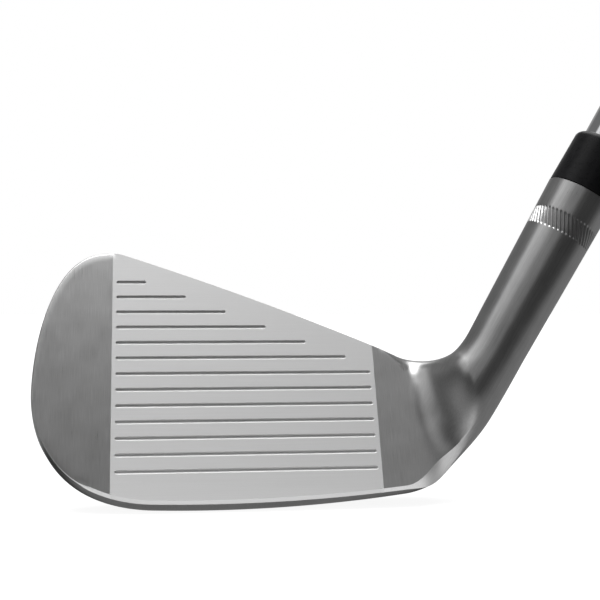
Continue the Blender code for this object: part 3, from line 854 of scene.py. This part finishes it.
class Surface:
    """A material under construction, with short calls for the nodes it needs."""

    def __init__(self, name, color, roughness, metallic):
        self.material = bpy.data.materials.new(name)
        self.material.use_nodes = True
        self.tree = self.material.node_tree
        self.shader = self.tree.nodes["Principled BSDF"]
        self.set(self.shader, {"Base Color": (*color, 1.0), "Roughness": roughness,
                               "Metallic": metallic})
        coordinates = self.tree.nodes.new("ShaderNodeTexCoord")
        self.object_place = coordinates.outputs["Object"]

    def set(self, node, values):
        for key, value in values.items():
            if isinstance(value, bpy.types.NodeSocket):
                self.tree.links.new(value, node.inputs[key])
            else:
                node.inputs[key].default_value = value

    def add(self, kind, values=None, **properties):
        node = self.tree.nodes.new("ShaderNode" + kind)
        for key, value in properties.items():
            setattr(node, key, value)
        self.set(node, values or {})
        return node

    def math(self, operation, *values, clamp=False):
        node = self.add("Math", operation=operation, use_clamp=clamp)
        self.set(node, dict(enumerate(values)))
        return node.outputs[0]

    def step(self, value, start, end, low=0.0, high=1.0):
        """low up to start and high from end, smooth between them."""
        node = self.add("MapRange", {"Value": value, "From Min": start, "From Max": end,
                                     "To Min": low, "To Max": high},
                        interpolation_type="SMOOTHSTEP")
        return node.outputs["Result"]

    def mapped(self, scale=(1.0, 1.0, 1.0), rotation=(0.0, 0.0, 0.0), location=(0.0, 0.0, 0.0),
               place=None):
        node = self.add("Mapping", {"Vector": place or self.object_place, "Scale": scale,
                                    "Rotation": rotation, "Location": location})
        return node.outputs["Vector"]

    def noise(self, place, scale=1.0, detail=2.0, roughness=0.5):
        node = self.add("TexNoise", {"Vector": place, "Scale": scale, "Detail": detail,
                                     "Roughness": roughness})
        return node.outputs["Fac"]

    def mix(self, factor, low, high):
        node = self.add("Mix", {0: factor, 2: low, 3: high}, data_type="FLOAT")
        return node.outputs[0]

    def shade(self, factor, low, high):
        """A grey or coloured mix between two colours."""
        node = self.add("Mix", {0: factor, 6: (*low, 1.0), 7: (*high, 1.0)}, data_type="RGBA")
        return node.outputs[2]

    def bump(self, height, strength, distance):
        node = self.add("Bump", {"Height": height, "Strength": strength,
                                 "Distance": distance * MM})
        self.set(self.shader, {"Normal": node.outputs["Normal"]})


def head_material():
    """Satin steel, brushed, with a finely blasted zone round the score lines."""
    s = Surface("satin_steel", (0.6, 0.6, 0.6), 0.3, 1.0)
    mm = s.mapped(scale=(1000.0, 1000.0, 1000.0))
    loft = math.radians(LOFT)
    face = s.mapped(place=mm, rotation=(loft, 0.0, 0.0),
                    location=(0.0, LINE_HEIGHT * SIN_LOFT, -LINE_HEIGHT * COS_LOFT))
    split = s.add("SeparateXYZ", {"Vector": face})
    u, w = split.outputs["X"], split.outputs["Y"]
    half = s.math("ABSOLUTE", u)
    inside = s.step(half, BLAST_HALF_WIDTH - BLAST_SIDE_BLUR,
                    BLAST_HALF_WIDTH + BLAST_SIDE_BLUR, 1.0, 0.0)
    near_face = s.step(w, BLAST_DEPTH - BLAST_DEPTH_BLUR, BLAST_DEPTH + BLAST_DEPTH_BLUR,
                       1.0, 0.0)
    blasted = s.math("MULTIPLY", inside, near_face)

    # Fine blasted grain, and the faint horizontal passes left by surfacing.
    grain = s.noise(face, scale=7.0, detail=3.0, roughness=0.6)
    passes = s.noise(s.mapped(place=face, scale=(0.05, 1.0, 3.2)), detail=3.0)
    # Brushing up the face on the blade and along the axis on the hosel.
    brushed_blade = s.noise(s.mapped(place=face, scale=(11.0, 3.0, 0.22)), detail=2.0)
    lean = math.radians(90.0 - LIE)
    hosel = s.mapped(place=mm, rotation=(0.0, -lean, 0.0))
    brushed_hosel = s.noise(s.mapped(place=hosel, scale=(6.0, 6.0, 0.1)), detail=3.0,
                            roughness=0.6)
    hairlines = s.mix(s.step(u, *BRUSH_TURN), brushed_blade, brushed_hosel)
    cloud = s.noise(face, scale=0.22, detail=3.0)
    brushed = s.mix(0.35, hairlines, cloud)

    blast_tone = s.mix(0.35, grain, passes)
    light = s.shade(blast_tone, (0.65, 0.65, 0.65), (0.79, 0.79, 0.79))
    satin = s.shade(brushed, (0.33, 0.33, 0.33), (0.69, 0.69, 0.69))
    color = s.add("Mix", {0: blasted, 6: satin, 7: light}, data_type="RGBA")
    rough_satin = s.mix(brushed, 0.24, 0.35)
    rough_blast = s.mix(grain, 0.56, 0.68)
    s.set(s.shader, {"Base Color": color.outputs[2],
                     "Roughness": s.mix(blasted, rough_satin, rough_blast)})
    s.bump(s.mix(blasted, s.math("MULTIPLY", brushed, 0.35), grain), 0.5, 0.012)
    return s.material


def groove_and_shade_material():
    """The cut walls and floors of the score lines: duller than the face, and darker, which is
    painted shade in the recesses.
    """
    s = Surface("cut_groove_and_painted_shade", (0.36, 0.36, 0.36), 0.6, 1.0)
    marks = s.noise(s.mapped(scale=(200.0, 4000.0, 4000.0)), detail=3.0)
    s.set(s.shader, {"Base Color": s.shade(marks, (0.48, 0.48, 0.48), (0.64, 0.64, 0.64)),
                     "Roughness": s.mix(marks, 0.5, 0.7)})
    s.bump(marks, 0.3, 0.01)
    return s.material


def chrome_material():
    """Plated tube with the faintest polishing marks round it."""
    s = Surface("chromed_tube", (0.78, 0.78, 0.79), 0.08, 1.0)
    rings = s.noise(s.mapped(scale=(300.0, 300.0, 9000.0)), detail=2.0)
    haze = s.noise(s.object_place, scale=120.0, detail=3.0)
    s.set(s.shader, {"Roughness": s.mix(haze, 0.05, 0.12),
                     "Base Color": s.shade(haze, (0.74, 0.74, 0.75), (0.82, 0.82, 0.83))})
    s.bump(rings, 0.12, 0.004)
    return s.material


def ferrule_material():
    """Polished black plastic with fine turning marks and handling scuffs."""
    s = Surface("black_ferrule", (0.008, 0.008, 0.009), 0.25, 0.0)
    turning = s.noise(s.mapped(scale=(200.0, 200.0, 14000.0)), detail=2.0)
    scuff = s.noise(s.object_place, scale=900.0, detail=4.0)
    s.set(s.shader, {"Roughness": s.mix(scuff, 0.2, 0.38),
                     "Base Color": s.shade(scuff, (0.006, 0.006, 0.007), (0.014, 0.014, 0.015)),
                     "Specular IOR Level": FERRULE_SHINE})
    s.bump(turning, 0.2, 0.006)
    return s.material


def rubber_material(name, tone, grain_scale):
    """Moulded rubber: matt, with a fine skin and a dusty variation."""
    s = Surface(name, (tone, tone, tone), 0.72, 0.0)
    skin = s.noise(s.object_place, scale=grain_scale, detail=3.0)
    dust = s.noise(s.object_place, scale=60.0, detail=4.0)
    s.set(s.shader, {"Base Color": s.shade(dust, (0.8 * tone,) * 3, (1.5 * tone,) * 3),
                     "Roughness": s.mix(skin, 0.62, 0.82)})
    s.bump(skin, 0.5, 0.05)
    return s.material


def foil_material():
    """A plain metallic foil label, a little crinkled."""
    s = Surface("foil_band", (0.18, 0.19, 0.2), 0.3, 0.7)
    crinkle = s.noise(s.object_place, scale=260.0, detail=3.0)
    fleck = s.noise(s.object_place, scale=4000.0, detail=1.0)
    s.set(s.shader, {"Base Color": s.shade(fleck, (0.13, 0.14, 0.15), (0.25, 0.26, 0.27)),
                     "Roughness": s.mix(crinkle, 0.24, 0.4)})
    s.bump(crinkle, 0.25, 0.05)
    return s.material


def epoxy_material():
    """Cured epoxy, amber and slightly cloudy."""
    s = Surface("cured_epoxy", (0.62, 0.56, 0.42), 0.35, 0.0)
    cloud = s.noise(s.object_place, scale=700.0, detail=4.0)
    s.set(s.shader, {"Base Color": s.shade(cloud, (0.5, 0.42, 0.26), (0.7, 0.64, 0.5)),
                     "Roughness": s.mix(cloud, 0.28, 0.5)})
    s.bump(cloud, 0.3, 0.03)
    return s.material


def brass_material():
    """Turned brass with tool marks round it."""
    s = Surface("turned_brass", (0.76, 0.58, 0.28), 0.28, 1.0)
    marks = s.noise(s.mapped(scale=(300.0, 300.0, 9000.0)), detail=3.0)
    s.set(s.shader, {"Base Color": s.shade(marks, (0.66, 0.48, 0.2), (0.8, 0.62, 0.32)),
                     "Roughness": s.mix(marks, 0.2, 0.38)})
    s.bump(marks, 0.3, 0.01)
    return s.material


def paper_material():
    """Crepe paper tape with its fine ribs."""
    s = Surface("tape_paper", (0.78, 0.74, 0.64), 0.85, 0.0)
    ribs = s.noise(s.mapped(scale=(400.0, 400.0, 3500.0)), detail=3.0)
    s.set(s.shader, {"Base Color": s.shade(ribs, (0.68, 0.63, 0.52), (0.84, 0.8, 0.7)),
                     "Roughness": s.mix(ribs, 0.78, 0.92)})
    s.bump(ribs, 0.5, 0.06)
    return s.material


# Assembly ----------------------------------------------------------------------

def add_piece(name, mesh, material, node, sharp_angle=TURNED_SHARP):
    """A fine mesh that stands for a CAD node."""
    piece = bpy.data.objects.new(name, mesh)
    bpy.context.scene.collection.objects.link(piece)
    mesh.materials.clear()
    mesh.materials.append(material)
    mesh.shade_smooth()
    mesh.set_sharp_from_angle(angle=math.radians(sharp_angle))
    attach(piece, "root")
    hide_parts(node)
    return piece


def cut_lines(skin):
    """The head skin with its score lines cut, as a new mesh."""
    body = bpy.data.objects.new("head_skin", skin)
    cutter = bpy.data.objects.new("line_cutter", score_line_cutter())
    for obj in (body, cutter):
        bpy.context.scene.collection.objects.link(obj)
    boolean = body.modifiers.new("lines", "BOOLEAN")
    boolean.operation = "DIFFERENCE"
    boolean.solver = "MANIFOLD"
    boolean.object = cutter
    graph = bpy.context.evaluated_depsgraph_get()
    mesh = bpy.data.meshes.new_from_object(body.evaluated_get(graph))
    for obj in (body, cutter):
        bpy.data.objects.remove(obj, do_unlink=True)
    return mesh


def in_groove(place):
    """Whether a face at this head-frame place is a wall or the floor of a score line."""
    v = place.y * SIN_LOFT + (place.z - LINE_HEIGHT) * COS_LOFT
    w = place.y * COS_LOFT - (place.z - LINE_HEIGHT) * SIN_LOFT
    index = LINE_COUNT - 1 - round(v / LINE_PITCH)
    if not 0 <= index < LINE_COUNT:
        return False
    off = abs(v - LINE_PITCH * (LINE_COUNT - 1 - index))
    along = -LINE_HALF_LENGTH <= place.x <= line_end(index)
    return along and LIP_DEPTH < w <= LINE_DEPTH + GAP and off < 0.5 * LINE_WIDTH


def add_head():
    """The head, with a second material in its score lines."""
    mesh = cut_lines(head_skin())
    head = add_piece("head", mesh, head_material(), "club_head", HEAD_SHARP)
    # The second material darkens the score lines: painted shade in their recesses.
    mesh.materials.append(groove_and_shade_material())
    for face in mesh.polygons:
        if in_groove(face.center / MM):
            face.material_index = 1
    head.location = in_room(0.0, 0.0, 0.0)


def add_turned(name, mesh, material, node):
    """A turned piece, set on the shaft's axis."""
    piece = add_piece(name, mesh, material, node)
    piece.matrix_world = along_shaft()


def add_turned_pieces():
    add_turned("collar", turned_mesh("collar", ferrule_profile()), ferrule_material(),
               "ferrule")
    add_turned("tube", turned_mesh("tube", shaft_profile()), chrome_material(),
               "shaft")
    grip = turned_mesh("grip", grip_profile(), GRIP_SEGMENTS, tread_depth)
    add_turned("grip", grip, rubber_material("grip_rubber", 0.018, 1600.0),
               "grip_sleeve")
    cap = turned_mesh("cap", cap_profile())
    cap.transform(along_shaft())         # turned in its mesh, which keeps its box tight
    add_piece("cap", cap, rubber_material("cap_rubber", 0.024, 1100.0),
              "grip_end_cap")
    add_turned("band", turned_mesh("band", band_profile()), foil_material(),
               "shaft_band")


def finish_hidden_nodes():
    """The pieces inside the club keep their CAD shapes."""
    finishes = {"hosel_epoxy": epoxy_material(), "tip_weight": brass_material(),
                "grip_tape": paper_material()}
    for name, material in finishes.items():
        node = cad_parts[name]
        node.data.materials.clear()
        node.data.materials.append(material)


# Studio ------------------------------------------------------------------------

def add_floor():
    """A pale floor, mostly an even white to the camera. What metal sees in it is painted light:
    a glow, bright in front of the club and dim beyond, with a painted shadow beneath the club.
    """
    bm = bmesh.new()
    corners = ((-FLOOR_SIZE, -FLOOR_SIZE), (FLOOR_SIZE, -FLOOR_SIZE),
               (FLOOR_SIZE, FLOOR_SIZE), (-FLOOR_SIZE, FLOOR_SIZE))
    bm.faces.new([bm.verts.new((x, y, 0.0)) for x, y in corners])
    mesh = bpy.data.meshes.new("floor")
    bm.to_mesh(mesh)
    bm.free()
    floor = bpy.data.objects.new("floor", mesh)
    bpy.context.scene.collection.objects.link(floor)
    floor.location = in_room(0.0, 0.0, -FLOOR_GAP)
    s = Surface("studio_floor", (0.9, 0.9, 0.9), 0.9, 0.0)
    mm = s.mapped(scale=(1000.0, 1000.0, 1000.0))
    split = s.add("SeparateXYZ", {"Vector": mm})
    x, y = split.outputs["X"], split.outputs["Y"]
    # Painted pool of light in front of the club, seen only in reflections.
    front = s.step(y, *FLOOR_FRONT, 0.0, FLOOR_NEAR)
    beside = s.step(x, *FLOOR_HEEL_SIDE, 1.0, 0.0)
    ahead = s.math("MULTIPLY", beside, s.step(y, *FLOOR_EDGE, 1.0, 0.0))
    painted_pool = s.math("MULTIPLY", front, ahead)
    far = s.step(y, *FLOOR_RISE, TENT_BASE, FLOOR_FAR)
    # Painted shadow beneath the club, seen only in reflections.
    under = s.math("MULTIPLY", s.step(y, *FLOOR_SHADE), s.step(x, *FLOOR_SHADE_END, 1.0, 0.0))
    shade = s.math("MULTIPLY", under, s.step(y, *FLOOR_BACK, 1.0 - FLOOR_BENEATH, 0.0))
    lit = s.math("SUBTRACT", 1.0, shade)
    glow = s.math("MULTIPLY", s.math("ADD", painted_pool, far), lit)
    painted_floor_glow = s.add("Emission", {"Strength": glow})
    white = s.add("Emission", {"Strength": FLOOR_WHITE})
    seen = s.add("MixShader", {0: FLOOR_GLOW, 1: s.shader.outputs[0], 2: white.outputs[0]})
    path = s.add("LightPath")
    both = s.add("MixShader", {0: path.outputs["Is Camera Ray"], 1: painted_floor_glow.outputs[0],
                               2: seen.outputs[0]})
    s.set(s.tree.nodes["Material Output"], {"Surface": both.outputs[0]})
    mesh.materials.append(s.material)


def direction(azimuth, elevation):
    """A unit vector. Azimuth 0 is the side that the face looks to, 90 the heel's side."""
    a = math.radians(azimuth)
    e = math.radians(elevation)
    return (math.sin(a) * math.cos(e), -math.cos(a) * math.cos(e), math.sin(e))


def add_surroundings():
    """A soft tent of light: each lobe is a glow round one direction."""
    world = bpy.data.worlds.new("tent")
    bpy.context.scene.world = world
    world.use_nodes = True
    tree = world.node_tree
    tree.nodes.clear()
    new = tree.nodes.new
    link = tree.links.new
    place = new("ShaderNodeTexCoord").outputs["Generated"]
    total = None
    for azimuth, elevation, inner, outer, strength in LOBES:
        dot = new("ShaderNodeVectorMath")
        dot.operation = "DOT_PRODUCT"
        link(place, dot.inputs[0])
        dot.inputs[1].default_value = direction(azimuth, elevation)
        glow = new("ShaderNodeMapRange")
        glow.interpolation_type = "SMOOTHSTEP"
        link(dot.outputs["Value"], glow.inputs["Value"])
        glow.inputs["From Min"].default_value = math.cos(math.radians(outer))
        glow.inputs["From Max"].default_value = math.cos(math.radians(inner))
        glow.inputs["To Max"].default_value = strength
        if total is None:
            total = glow.outputs["Result"]
            continue
        add = new("ShaderNodeMath")
        link(total, add.inputs[0])
        link(glow.outputs["Result"], add.inputs[1])
        total = add.outputs[0]
    base = new("ShaderNodeMath")
    link(total, base.inputs[0])
    base.inputs[1].default_value = TENT_BASE
    seen = new("ShaderNodeBackground")
    lit = new("ShaderNodeBackground")
    link(base.outputs[0], lit.inputs["Strength"])
    path = new("ShaderNodeLightPath")
    mix = new("ShaderNodeMixShader")
    link(path.outputs["Is Camera Ray"], mix.inputs[0])
    link(lit.outputs[0], mix.inputs[1])
    link(seen.outputs[0], mix.inputs[2])
    seen.inputs["Color"].default_value = (1.0, 1.0, 1.0, 1.0)
    lit.inputs["Color"].default_value = (1.0, 1.0, 1.0, 1.0)
    link(mix.outputs[0], new("ShaderNodeOutputWorld").inputs["Surface"])


def add_camera():
    data = bpy.data.cameras.new("camera")
    data.lens = CAMERA_LENS
    data.sensor_width = CAMERA_SENSOR
    data.clip_start = 0.01
    data.clip_end = 50.0
    camera = bpy.data.objects.new("camera", data)
    bpy.context.scene.collection.objects.link(camera)
    camera.location = in_room(*CAMERA_PLACE)
    camera.rotation_euler = (math.radians(90.0), 0.0, math.radians(CAMERA_YAW))
    bpy.context.scene.camera = camera


add_head()
add_turned_pieces()
finish_hidden_nodes()
add_floor()
add_surroundings()
add_camera()
bpy.context.scene.view_settings.view_transform = "Standard"
bpy.context.view_layer.update()
